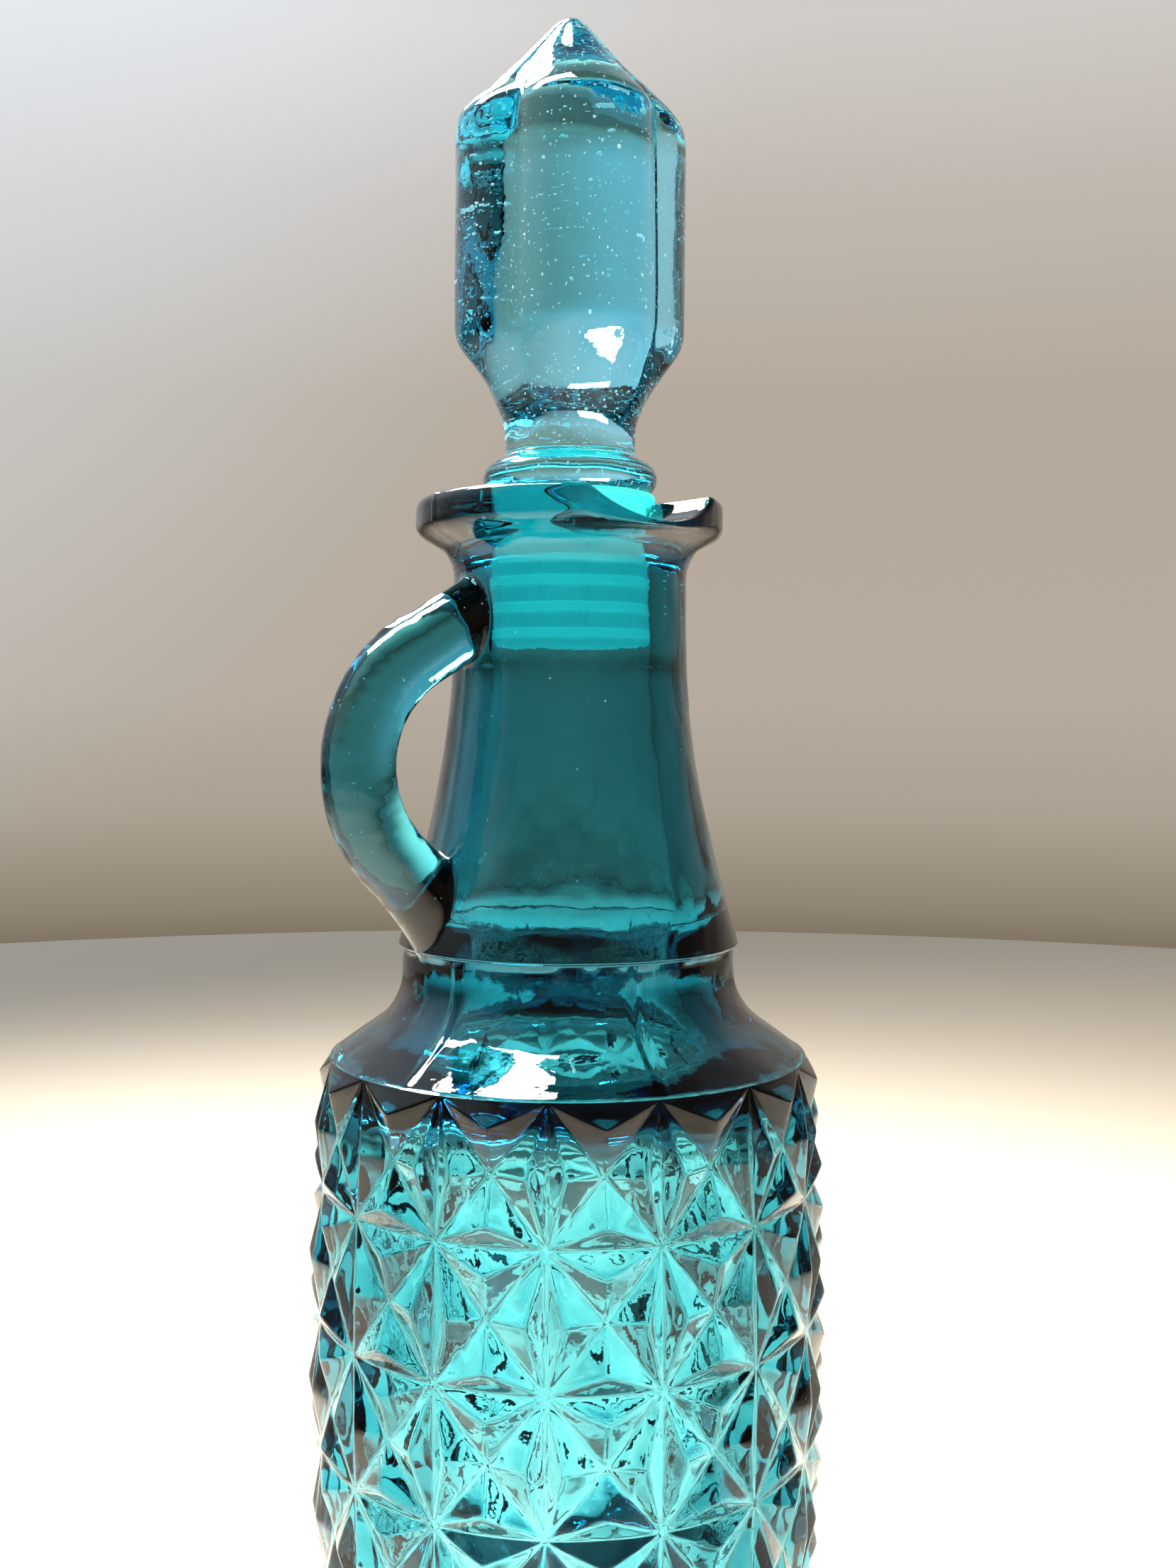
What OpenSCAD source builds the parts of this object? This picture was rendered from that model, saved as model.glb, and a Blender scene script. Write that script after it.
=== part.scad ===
// Pressed-glass decanter with a loop handle, a pouring notch and a lobed stopper.
// The origin is the centre of the foot. +Z is up and the handle lies on -X.

/* [Body] */
// Height of the foot below the pressed pattern
foot_h = 6.9; // [4:0.1:10]
// Radius of the flat foot
foot_r = 33; // [30:0.5:35]
// Groove radius at the widest height of the body
belly_r = 39; // [38.5:0.1:42]
// Height at which the body is widest
belly_z = 62; // [50:1:75]
// How far the body narrows 30 mm above or below the belly
barrel_drop = 0.8; // [0.3:0.1:1.2]
// Number of star columns round the body
columns = 15; // [10:1:20]
// Number of pattern rows up the body
rows = 5; // [3:1:5]
// Height of one pattern row
row_h = 19.9; // [18:0.1:21]
// Height of each pattern point above its grooves
relief = 1.9; // [0.8:0.1:2.4]
// Bearing of one star column, from +X towards +Y
star_bearing = 233.4; // [0:0.1:360]

/* [Neck] */
// Height of the bottle without its stopper
bottle_h = 192.6; // [188:0.1:196]
// Smallest outside radius of the neck
neck_r = 18.25; // [17.5:0.05:19.5]
// Radius of the long concave curve of the neck
neck_curve_r = 150; // [140:1:170]
// Outside radius of the neck at the seam ring
ring_r = 26.7; // [25.5:0.1:27.5]
// Height of the mould-seam ring under the neck
ring_z = 123.8; // [121:0.1:125]
// Bore radius where the stopper seats
bore_r = 12.65; // [12.2:0.05:13.2]
// Thickness of the neck's wall below the bore
neck_wall = 6.2; // [5.8:0.05:6.8]
// Thickness of the wall where the shoulder curves into the neck
shoulder_wall = 9; // [5:0.1:10]
// Inside radius of the body
cavity_r = 34.8; // [30:0.1:35]
// Thickness of the bottle's floor
floor_t = 9; // [6:0.5:12]

/* [Rim] */
// Outside radius of the rim
rim_r = 24.2; // [23:0.1:26]
// Height of the upright edge of the rim
rim_band_h = 4.9; // [3.5:0.1:6]
// Bearing of the pouring notch, from +X towards +Y
notch_bearing = 274; // [0:1:360]
// Width of the notch at the rim's outer edge
notch_w = 25; // [18:0.5:28]
// Depth of the notch below the rim
notch_depth = 5; // [3:0.1:6]

/* [Handle] */
// Thickness of the handle, from its inner to its outer edge
handle_d = 11.9; // [10:0.1:13]
// Width of the handle across its thickness
handle_w = 11.1; // [9:0.1:13]
// Radius of the handle's curve at its middle line
handle_bend_r = 19.9; // [18:0.1:22]
// Distance of the curve's centre from the bottle's axis
handle_offset = 16.4; // [15:0.1:17.5]
// Height of the handle's middle
handle_z = 151.6; // [150:0.1:153]
// Angle that the handle's curve covers above its middle
handle_top_angle = 60; // [56:1:64]
// Angle that the handle's curve covers below its middle
handle_foot_angle = 45; // [42:1:50]

/* [Stopper] */
// Radius of the finial over its lobes
finial_r = 18.2; // [17:0.1:20]
// Radius of one lobe of the finial
lobe_r = 11; // [9.5:0.1:12.5]
// Bearing of one lobe, from +X towards +Y
lobe_bearing = 251; // [0:1:360]
// Radius of the bead that sits over the mouth
bead_r = 13.7; // [13:0.1:15]
// Radius of the stopper's neck and shank
shank_r = 10.2; // [9:0.1:10.6]
// Overall height with the stopper in place
total_h = 267.6; // [264:0.1:272]

/* [Sleeve] */
// Radius of the sleeve's flange on the rim
flange_r = 13.4; // [13:0.1:14]
// Thickness of the flange
flange_t = 1; // [0.6:0.1:1.5]
// Length of the sleeve below the rim
sleeve_l = 23; // [18:0.5:26]
// Depth of each sealing rib
rib_depth = 0.7; // [0.4:0.05:0.9]
// Height of each sealing rib
rib_h = 1.3; // [0.8:0.1:2]
// Distance from one sealing rib to the next
rib_pitch = 4; // [3:0.1:5]
// Number of sealing ribs
rib_count = 5; // [2:1:5]
// Running clearance between the sleeve and the glass on each side
fit_gap = 0.05; // [0.02:0.01:0.1]

/* [Hidden] */
$fn = 96;
GLASS = [0.13, 0.55, 0.60];
PALE_PLASTIC = [0.62, 0.86, 0.78];

pattern_top = foot_h + rows * row_h;
column_angle = 360 / columns;
neck_waist_z = 175;
bore_z = 168;
cove_r = 9.9;
cove_x = 36;
cove_z = 119.5;
ring_step = 0.3;
wall_gap = 0.02;
handle_sides = 24;
bend_steps = 12;
root_steps = 4;
root_l = 17;
foot_swell = 2.8;
top_swell = 0.3;
rim_band_z = bottle_h - rim_band_h;
sleeve_r = bore_r - fit_gap - rib_depth;
flange_top = bottle_h + wall_gap + flange_t;
bead_z = flange_top + wall_gap;
bead_h = 5.4;
finial_foot_z = 204.6;
finial_base_z = 217.2;
finial_top_z = 249.6;

// Points of an arc about a centre, from one bearing to another.
function arc(x, y, r, from, to, steps) =
    [for (i = [0 : steps]) let (a = from + (to - from) * i / steps) [x + r * cos(a), y + r * sin(a)]];

// Outside radius of the concave neck at a height.
function neck_at(z) =
    neck_r + neck_curve_r - sqrt(pow(neck_curve_r, 2) - pow(neck_waist_z - z, 2));

// Radius of the pattern's grooves at a height.
function groove_at(z) = belly_r - barrel_drop * pow((z - belly_z) / 30, 2);

// A point of the pattern, from its column and row, raised above the grooves.
function pattern_point(column, row, raised) =
    let (z = foot_h + row * row_h)
    let (r = groove_at(z) + raised)
    let (a = star_bearing + column * column_angle)
    [r * cos(a), r * sin(a), z];

// A fan of facets from a raised point round its closed outline.
function fan(outline, tip) =
    [for (i = [0 : len(outline) - 1]) [tip, outline[i], outline[(i + 1) % len(outline)]]];

// Each cell has seven points of its own: its lower left star point, the middle of the
// groove below it, its centre and its four raised tips. It shares the rest with its neighbours.
CELL_POINTS = 7;
function cell_index(c, w, k) = ((w * columns) + (c % columns)) * CELL_POINTS + k;
STAR = 0;
GROOVE = 1;
CENTRE = 2;
TIP_LOW = 3;
TIP_HIGH = 4;
TIP_LEFT = 5;
TIP_RIGHT = 6;

// The pattern as one closed solid: four raised points in each cell, between V grooves.
module pattern_body() {
    lattice = [
        for (w = [0 : rows], c = [0 : columns - 1])
            each [
                pattern_point(c, w, 0),
                pattern_point(c + 1/2, w, 0),
                pattern_point(c + 1/2, w + 1/2, 0),
                pattern_point(c + 1/2, w + 1/6, relief),
                pattern_point(c + 1/2, w + 5/6, relief),
                pattern_point(c + 1/6, w + 1/2, relief),
                pattern_point(c + 5/6, w + 1/2, relief)
            ]
    ];
    facets = [
        for (w = [0 : rows - 1], c = [0 : columns - 1])
            let (
                low_l = cell_index(c, w, STAR),
                low_m = cell_index(c, w, GROOVE),
                low_r = cell_index(c + 1, w, STAR),
                high_l = cell_index(c, w + 1, STAR),
                high_m = cell_index(c, w + 1, GROOVE),
                high_r = cell_index(c + 1, w + 1, STAR),
                centre = cell_index(c, w, CENTRE)
            )
            each concat(
                fan([low_l, centre, low_r, low_m], cell_index(c, w, TIP_LOW)),
                fan([high_l, high_m, high_r, centre], cell_index(c, w, TIP_HIGH)),
                fan([low_l, high_l, centre], cell_index(c, w, TIP_LEFT)),
                fan([low_r, centre, high_r], cell_index(c, w, TIP_RIGHT))
            )
    ];
    foot_ring = [
        for (c = [0 : columns - 1], k = [0, 1/2])
            let (a = star_bearing + (c + k) * column_angle)
            [foot_r * cos(a), foot_r * sin(a), 0]
    ];
    first_foot = len(lattice);
    foot_n = len(foot_ring);
    function low_edge(i) = cell_index(floor(i / 2), 0, i % 2 == 0 ? STAR : GROOVE);
    function top_edge(i) = cell_index(floor(i / 2), rows, i % 2 == 0 ? STAR : GROOVE);
    foot_side = [
        for (i = [0 : foot_n - 1])
            let (j = (i + 1) % foot_n)
            each [
                [first_foot + i, low_edge(i), low_edge(j)],
                [first_foot + i, low_edge(j), first_foot + j]
            ]
    ];
    underside = [[for (i = [0 : foot_n - 1]) first_foot + i]];
    topside = [[for (i = [foot_n - 1 : -1 : 0]) top_edge(i)]];
    polyhedron(points = concat(lattice, foot_ring), faces = concat(facets, foot_side, underside, topside));
}

// The outside of the shoulder, neck and rim, turned about the axis.
module neck_outside() {
    rotate_extrude()
        polygon(concat(
            [[0, pattern_top - 8], [33, pattern_top - 8], [groove_at(pattern_top) - 0.6, pattern_top]],
            arc(28.6, 98.9, 11.2, 38, 52, 4),
            arc(cove_x, cove_z, cove_r, 234, 180, 8),
            [[ring_r - ring_step, ring_z - ring_step], [ring_r, ring_z]],
            [for (z = [ring_z + 4 : 6 : neck_waist_z]) [neck_at(z), z]],
            arc(neck_r + 6.6, 180.6, 6.6, 190, 135, 6),
            [[rim_r - 0.7, rim_band_z - 0.6]],
            arc(rim_r - 0.8, rim_band_z + 0.8, 0.8, -40, 0, 2),
            arc(rim_r - 1.6, bottle_h - 1.6, 1.6, 0, 90, 5),
            [[0, bottle_h]]
        ));
}

// The hollow inside: bore, throat and body cavity. Its wall follows the outside of the shoulder.
module hollow() {
    corner_r = 7;
    rotate_extrude()
        polygon(concat(
            [[0, floor_t]],
            arc(cavity_r - 6, floor_t + 6, 6, -90, 0, 5),
            arc(cavity_r - corner_r, 96, corner_r, 0, 50, 4),
            arc(cove_x, cove_z, cove_r + shoulder_wall, 234, 180, 6),
            [for (z = [ring_z + 6 : 6 : bore_z - 2]) [neck_at(z) - neck_wall, z]],
            [[bore_r, bore_z], [bore_r, bottle_h - 0.4], [bore_r + 0.4, bottle_h], [bore_r + 0.4, bottle_h + 1]],
            [[0, bottle_h + 1]]
        ));
}

// The scoop that makes the pouring notch: a cone that widens outwards, with a level floor.
module notch_scoop() {
    inner_r = 11;
    outer_reach = rim_r + 6;
    outer_r = (pow(notch_w / 2, 2) + pow(notch_depth, 2)) / (2 * notch_depth);
    widening = atan((outer_r - inner_r) / outer_reach);
    rotate([0, 0, notch_bearing])
        translate([0, 0, bottle_h - notch_depth])
            rotate([0, -widening, 0])
                translate([0, 0, inner_r])
                    rotate([0, 90, 0])
                        cylinder(r1 = inner_r, r2 = outer_r, h = outer_reach);
}

module bottle() {
    color(GLASS)
        difference() {
            union() {
                pattern_body();
                neck_outside();
            }
            hollow();
            notch_scoop();
        }
}

// One oval section of the handle, standing across its middle line. The bearing is that
// of the section on the curve, past is how far beyond the curve's end it lies, along the
// straight root, and grow is how much the root has swollen there.
function handle_section(bearing, past, grow) =
    let (x = -handle_offset - handle_bend_r * cos(bearing) + past * abs(sin(bearing)))
    let (z = handle_z + handle_bend_r * sin(bearing) + sign(bearing) * past * cos(bearing))
    let (thick = handle_d / 2 + grow)
    let (wide = handle_w / 2 + grow)
    [
        for (i = [0 : handle_sides - 1])
            let (u = i * 360 / handle_sides)
            [x - thick * cos(u) * cos(bearing), wide * sin(u), z + thick * cos(u) * sin(bearing)]
    ];

// The handle's middle line as sections, from its lower root to its upper one.
bend_angle = handle_foot_angle + handle_top_angle;
handle_sections = concat(
    [for (i = [root_steps : -1 : 1])
        handle_section(-handle_foot_angle, i * root_l / root_steps, foot_swell * pow(i / root_steps, 2))],
    [for (i = [0 : bend_steps]) handle_section(-handle_foot_angle + i * bend_angle / bend_steps, 0, 0)],
    [for (i = [1 : root_steps])
        handle_section(handle_top_angle, i * root_l / root_steps, top_swell * pow(i / root_steps, 2))]
);

// The handle: a C-shaped rope of glass whose two ends meet the neck.
module handle() {
    last = len(handle_sections) - 1;
    sides = [
        for (s = [0 : last - 1], i = [0 : handle_sides - 1])
            let (a = s * handle_sides + i)
            let (b = s * handle_sides + (i + 1) % handle_sides)
            each [[a, b + handle_sides, b], [a, a + handle_sides, b + handle_sides]]
    ];
    low_end = [for (i = [0 : handle_sides - 1]) i];
    high_end = [for (i = [handle_sides - 1 : -1 : 0]) last * handle_sides + i];
    color(GLASS)
        difference() {
            polyhedron(points = [for (s = handle_sections) each s], faces = concat(sides, [low_end, high_end]));
            neck_outside();
        }
}

// Outline of the finial's four lobes.
module lobes() {
    reach = finial_r - lobe_r;
    for (i = [0 : 3])
        rotate(lobe_bearing + i * 90)
            translate([reach, 0])
                circle(lobe_r);
    square(reach * 2, center = true);
}

// The finial's outside, before its flutes are cut.
module finial_envelope() {
    tip_r = 5;
    rotate_extrude()
        polygon(concat(
            [[0, finial_foot_z - 2], [shank_r, finial_foot_z - 2], [shank_r, finial_foot_z]],
            [[11.4, finial_foot_z + 2.7], [14.3, finial_foot_z + 7.7], [16.5, finial_foot_z + 10.8]],
            arc(finial_r - 4, finial_base_z + 1.4, 4, -28, 0, 3),
            arc(finial_r - 4, finial_top_z, 4, 0, 50, 4),
            arc(0, total_h - tip_r, tip_r, 42, 90, 4)
        ));
}

module stopper() {
    color(GLASS) {
        intersection() {
            finial_envelope();
            translate([0, 0, finial_foot_z - 3])
                linear_extrude(total_h)
                    union() {
                        lobes();
                        circle(shank_r + 2.1);
                    }
        }
        rotate_extrude()
            polygon(concat(
                [[0, bottle_h - sleeve_l + 1], [shank_r - 1, bottle_h - sleeve_l + 1]],
                [[shank_r, bottle_h - sleeve_l + 2], [shank_r, bead_z]],
                [[bead_r - 2, bead_z]],
                arc(bead_r - 2.5, bead_z + 2.6, 2.5, -75, 75, 6),
                [[shank_r + 0.5, bead_z + bead_h], [shank_r, bead_z + bead_h + 0.8]],
                [[shank_r, finial_foot_z - 1], [0, finial_foot_z - 1]]
            ));
    }
}

module stopper_sleeve() {
    sleeve_bottom = bottle_h - sleeve_l;
    color(PALE_PLASTIC)
        difference() {
            union() {
                translate([0, 0, sleeve_bottom])
                    cylinder(r = sleeve_r, h = sleeve_l + wall_gap + flange_t);
                translate([0, 0, bottle_h + wall_gap])
                    cylinder(r = flange_r, h = flange_t);
                for (i = [0 : rib_count - 1])
                    translate([0, 0, sleeve_bottom + 1.2 + i * rib_pitch])
                        cylinder(r = bore_r - fit_gap, h = rib_h);
            }
            translate([0, 0, sleeve_bottom - 1])
                cylinder(r = shank_r + fit_gap, h = sleeve_l + 4);
        }
}

bottle();
handle();
stopper();
stopper_sleeve();
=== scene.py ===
import math

import bmesh
import bpy
import numpy as np
from mathutils import Matrix, Vector


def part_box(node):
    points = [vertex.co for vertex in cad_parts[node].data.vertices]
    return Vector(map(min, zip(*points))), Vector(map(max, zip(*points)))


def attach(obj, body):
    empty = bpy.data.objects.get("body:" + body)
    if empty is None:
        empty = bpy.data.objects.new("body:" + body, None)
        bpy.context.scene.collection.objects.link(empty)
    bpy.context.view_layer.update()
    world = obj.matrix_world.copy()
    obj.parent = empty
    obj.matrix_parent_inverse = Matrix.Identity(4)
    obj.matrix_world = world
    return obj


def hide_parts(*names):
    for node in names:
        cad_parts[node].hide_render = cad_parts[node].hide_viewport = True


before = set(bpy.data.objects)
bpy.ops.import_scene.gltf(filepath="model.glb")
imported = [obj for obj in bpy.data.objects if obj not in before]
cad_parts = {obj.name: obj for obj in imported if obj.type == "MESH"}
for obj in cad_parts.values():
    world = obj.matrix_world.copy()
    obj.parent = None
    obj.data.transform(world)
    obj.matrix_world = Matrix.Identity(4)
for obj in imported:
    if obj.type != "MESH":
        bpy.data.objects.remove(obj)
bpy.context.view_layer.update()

MM = 0.001
scene = bpy.context.scene
rng = np.random.default_rng(11)
STOPPER_SEEDS = 1800
BOTTLE_SEEDS = 130
HANDLE_SEEDS = 30

# ---------------------------------------------------------------- camera
VIEW_AZIMUTH = math.radians(-33)
VIEW_DISTANCE = 252 * MM
EYE_HEIGHT = 157 * MM
VIEW_PITCH = math.radians(-1.93)
VIEW_ROLL = math.radians(0.22)
SIDE_STEP = 3.0 * MM
LENS_MM = 36.6

towards_camera = Vector((math.sin(VIEW_AZIMUTH), -math.cos(VIEW_AZIMUTH), 0))
camera_right = Vector((math.cos(VIEW_AZIMUTH), math.sin(VIEW_AZIMUTH), 0))


def make_camera():
    data = bpy.data.cameras.new("camera")
    data.lens = LENS_MM
    data.sensor_width = 36
    data.clip_start = 0.01
    data.dof.use_dof = False
    camera = bpy.data.objects.new("camera", data)
    scene.collection.objects.link(camera)
    camera.location = towards_camera * VIEW_DISTANCE + camera_right * SIDE_STEP
    camera.location.z = EYE_HEIGHT
    turn = Matrix.Rotation(VIEW_AZIMUTH, 3, "Z") @ Matrix.Rotation(math.pi / 2 + VIEW_PITCH, 3, "X")
    camera.rotation_euler = (turn @ Matrix.Rotation(VIEW_ROLL, 3, "Z")).to_euler()
    scene.camera = camera


make_camera()

# ---------------------------------------------------------------- sizes, in millimetres
def height_range(node):
    """Lowest and highest z of a CAD node."""
    return [float(np.array(corner)[2] / MM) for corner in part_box(node)]


RIM_Z = height_range("bottle")[1]
STOPPER_FOOT_Z, STOPPER_TIP_Z = height_range("stopper")
SLEEVE_FOOT_Z, SLEEVE_TOP_Z = height_range("stopper_sleeve")
FOOT_H = 6.9
ROW_H = 19.9
ROWS = 5
COLUMNS = 15
STAR_BEARING = math.radians(233.4)
RELIEF = 1.9
BELLY_R = 39
BELLY_Z = 62
BARREL_DROP = 0.8
PATTERN_TOP = FOOT_H + ROWS * ROW_H
FACET_STEPS = 10
EDGE_CROWDING = 1.45
TIP_SOFTNESS = 0.018
GROOVE_SOFTNESS = 0.10

NECK_R = 18.25
NECK_WAIST_Z = 175
NECK_CURVE_R = 150
RING_Z = 123.8
RING_R = 26.7
RIM_R = 24.2
RIM_BAND_Z = RIM_Z - 4.9
COVE_R = 6.6
COVE_Z = 180.6
COLLAR_BEARING = 142
BORE_R = 12.65
NECK_WALL = 6.2
SHOULDER_WALL = 9
SHOULDER_COVE_R = 9.9
SHOULDER_COVE_X = 36
SHOULDER_COVE_Z = 119.5
BORE_Z = 168
CAVITY_R = 34.8
FLOOR_Z = 9
TURN_STEPS = 300
NOTCH_BEARING = math.radians(274)
NOTCH_WIDTH = 25
NOTCH_DEPTH = 5
NOTCH_EDGE = 0.22
SCOOP_R = 11

HANDLE_OFFSET = 16.4
HANDLE_BEND_R = 19.9
HANDLE_Z = 151.6
HANDLE_THICK = 11.9
HANDLE_WIDE = 11.1
HANDLE_TOP_ANGLE = math.radians(60)
HANDLE_FOOT_ANGLE = math.radians(45)
ROOT_LENGTH = 17
TOP_SWELL = 0.3
FOOT_SWELL = 2.7
HANDLE_BEARING = math.pi
HANDLE_SIDES = 56

FIRST_RIB = 1.2
RIB_PITCH = 4
RIB_H = 1.3
RIB_COUNT = 5
FLANGE_R = 13.4
FLANGE_T = 1.0

SHANK_R = 10.2
BEAD_R = 13.7
FINIAL_R = 18.2
LOBE_R = 11
LOBE_BEARING = math.radians(251)
FINIAL_FOOT_Z = 204.6
FINIAL_BASE_Z = 217.2
FINIAL_TOP_Z = 249.6


# ---------------------------------------------------------------- small geometry tools
def arc(x, z, radius, start, end, steps):
    """Points of an arc in the (radius, height) plane; the bearings are in degrees."""
    turn = np.radians(np.linspace(start, end, steps + 1))
    return [(x + radius * math.cos(a), z + radius * math.sin(a)) for a in turn]


def even_path(points, step, rounds=0):
    """The outline through points, resampled to an even step and rounded by averaging."""
    pts = np.array(points, float)
    run = np.concatenate([[0], np.cumsum(np.linalg.norm(np.diff(pts, axis=0), axis=1))])
    count = max(2, int(round(run[-1] / step)) + 1)
    at = np.linspace(0, run[-1], count)
    path = np.stack([np.interp(at, run, pts[:, 0]), np.interp(at, run, pts[:, 1])], 1)
    for _ in range(rounds):
        path[1:-1] = (path[:-2] + 2 * path[1:-1] + path[2:]) / 4
    return path


def ripple(points, wavelength, seed, waves=20):
    """A smooth random field of about unit size at points, from plane waves with their own seed."""
    source = np.random.default_rng(seed)
    directions = source.normal(size=(waves, 3))
    directions /= np.linalg.norm(directions, axis=1)[:, None]
    numbers = 2 * math.pi / (wavelength * source.uniform(0.7, 1.5, waves))
    phases = source.uniform(0, 2 * math.pi, waves)
    return np.cos(points @ (directions * numbers[:, None]).T + phases).sum(1) / math.sqrt(waves / 2)


def soft_min(values, reach):
    """The smallest of several arrays, blended within reach of where they cross."""
    stack = np.stack(values)
    low = stack.min(0)
    return low - reach * np.log(np.exp(-(stack - low) / reach).sum(0))


class Shell:
    """Collects points and faces in millimetres, and makes one mesh of them."""

    def __init__(self):
        self.points = []
        self.faces = []
        self.count = 0
        self.seeds_from = None

    def add_points(self, points):
        first = self.count
        points = np.asarray(points, float).reshape(-1, 3)
        self.points.append(points)
        self.count += len(points)
        return np.arange(first, self.count)

    def add_grid(self, grid, flip=False):
        """A grid of rows by columns that closes on itself along its columns."""
        rows, columns = grid.shape[:2]
        ids = self.add_points(grid).reshape(rows, columns)
        for low, high in zip(ids[:-1], ids[1:]):
            quads = np.stack([low, np.roll(low, -1), np.roll(high, -1), high], 1)
            self.faces.extend((quads[:, ::-1] if flip else quads).tolist())
        return ids

    def add_fan(self, ring, centre, flip=False):
        middle = self.add_points([centre])[0]
        for a, b in zip(ring, np.roll(ring, -1)):
            self.faces.append([b, a, middle] if flip else [a, b, middle])

    def zip_rings(self, low, high, flip=False):
        """Triangles between two closed rings with different numbers of points."""
        everything = np.concatenate(self.points)
        bearing = [np.arctan2(everything[ring, 1], everything[ring, 0]) for ring in (low, high)]
        low, high = low[np.argsort(bearing[0])], high[np.argsort(bearing[1])]
        a, b = np.sort(bearing[0]), np.sort(bearing[1])
        a, b = np.append(a, a[0] + 2 * math.pi), np.append(b, b[0] + 2 * math.pi)
        i = j = 0
        while i < len(low) or j < len(high):
            here = (low[i % len(low)], high[j % len(high)])
            if j >= len(high) or (i < len(low) and a[i + 1] <= b[j + 1]):
                i += 1
                face = [here[0], low[i % len(low)], here[1]]
            else:
                j += 1
                face = [here[0], high[j % len(high)], here[1]]
            self.faces.append(face[::-1] if flip else face)

    def bmesh(self, weld=0.001):
        mesh = bpy.data.meshes.new("work")
        mesh.from_pydata(np.concatenate(self.points).tolist(), [], [list(map(int, f)) for f in self.faces])
        if self.seeds_from is not None:
            slots = [int(i >= self.seeds_from) for i in range(len(self.faces))]
            mesh.polygons.foreach_set("material_index", slots)
        work = bmesh.new()
        work.from_mesh(mesh)
        bpy.data.meshes.remove(mesh)
        bmesh.ops.remove_doubles(work, verts=work.verts, dist=weld)
        return work


def turned(path, bearings, warp=None):
    """A grid of points: the outline path turned about the axis at each bearing."""
    r, z = path[:, :1], path[:, 1:]
    grid = np.stack([r * np.cos(bearings), r * np.sin(bearings), z + 0 * bearings], 2)
    return grid if warp is None else warp(grid)


def push_out(grid, amount):
    """Moves points away from the axis by amount."""
    reach = np.linalg.norm(grid[..., :2], axis=-1, keepdims=True)
    moved = grid.copy()
    moved[..., :2] *= 1 + amount[..., None] / np.maximum(reach, 1e-6)
    return moved


def to_object(work, name):
    """Makes a smooth-shaded object in metres of a bmesh in millimetres."""
    work.normal_update()
    mesh = bpy.data.meshes.new(name)
    bmesh.ops.scale(work, vec=(MM, MM, MM), verts=work.verts)
    work.to_mesh(mesh)
    work.free()
    mesh.polygons.foreach_set("use_smooth", [True] * len(mesh.polygons))
    piece = bpy.data.objects.new(name, mesh)
    scene.collection.objects.link(piece)
    return piece


BEARINGS = np.linspace(0, 2 * math.pi, TURN_STEPS, endpoint=False)


# ---------------------------------------------------------------- bottle outlines
def groove_at(z):
    """Radius of the pattern's grooves at a height."""
    return BELLY_R - BARREL_DROP * ((z - BELLY_Z) / 30) ** 2


def neck_at(z):
    """Outside radius of the concave neck at a height."""
    return NECK_R + NECK_CURVE_R - math.sqrt(NECK_CURVE_R ** 2 - (NECK_WAIST_Z - z) ** 2)


shoulder_outline = (
    [(groove_at(PATTERN_TOP), PATTERN_TOP), (37.15, 106.75)]
    + arc(28.6, 98.9, 11.2, 45, 52, 3)
    + arc(SHOULDER_COVE_X, SHOULDER_COVE_Z, SHOULDER_COVE_R, 234, 180, 12)
    + [(26.1, RING_Z - 0.9)]
)
ring_outline = (
    [(26.1, RING_Z - 0.9), (26.1, RING_Z - 0.35)]
    + arc(RING_R - 0.3, RING_Z, 0.3, -50, 30, 4)
    + [(RING_R - 0.25, RING_Z + 1.2)]
)
neck_outline = (
    [(RING_R - 0.25, RING_Z + 1.2), (26.15, RING_Z + 2.6)]
    + [(neck_at(z), z) for z in np.linspace(129, 178, 40)]
    + arc(NECK_R + COVE_R, COVE_Z, COVE_R, 184, COLLAR_BEARING, 6)
)
COLLAR_Z = neck_outline[-1][1]
rim_outline = (
    arc(NECK_R + COVE_R, COVE_Z, COVE_R, COLLAR_BEARING, 135, 1)
    + [(RIM_R - 0.9, RIM_BAND_Z - 0.7)]
    + arc(RIM_R - 0.9, RIM_BAND_Z + 0.6, 0.9, -45, 0, 3)
    + arc(RIM_R - 1.3, RIM_Z - 1.3, 1.3, 0, 90, 6)
)
mouth_outline = (
    [(RIM_R - 1.3, RIM_Z), (BORE_R + 0.5, RIM_Z)]
    + arc(BORE_R + 0.5, RIM_Z - 0.5, 0.5, 90, 180, 3)
)
bore_outline = [(BORE_R, RIM_Z - 0.5), (BORE_R, RIM_Z - 3), (BORE_R, BORE_Z)]
throat_outline = (
    [(BORE_R, BORE_Z)]
    + [(neck_at(z) - NECK_WALL, z) for z in np.linspace(BORE_Z - 2.5, RING_Z + 5, 15)]
    + arc(SHOULDER_COVE_X, SHOULDER_COVE_Z, SHOULDER_COVE_R + SHOULDER_WALL, 180, 234, 10)
    + arc(CAVITY_R - 7, 96, 7, 50, 0, 6)
    + [(CAVITY_R, 55), (CAVITY_R, FLOOR_Z + 6)]
    + arc(CAVITY_R - 6, FLOOR_Z + 6, 6, 0, -90, 6)
    + [(14, FLOOR_Z + 0.3), (2, FLOOR_Z + 0.9)]
)
foot_outline = (
    [(groove_at(FOOT_H), FOOT_H), (36.0, 4.6), (34.9, 2.2), (33.9, 0.8), (32.8, 0.15), (31.8, 0)]
    + [(28.5, 0), (27.4, 0.5), (26, 1.1), (14, 1.5), (2, 1.6)]
)


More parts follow.
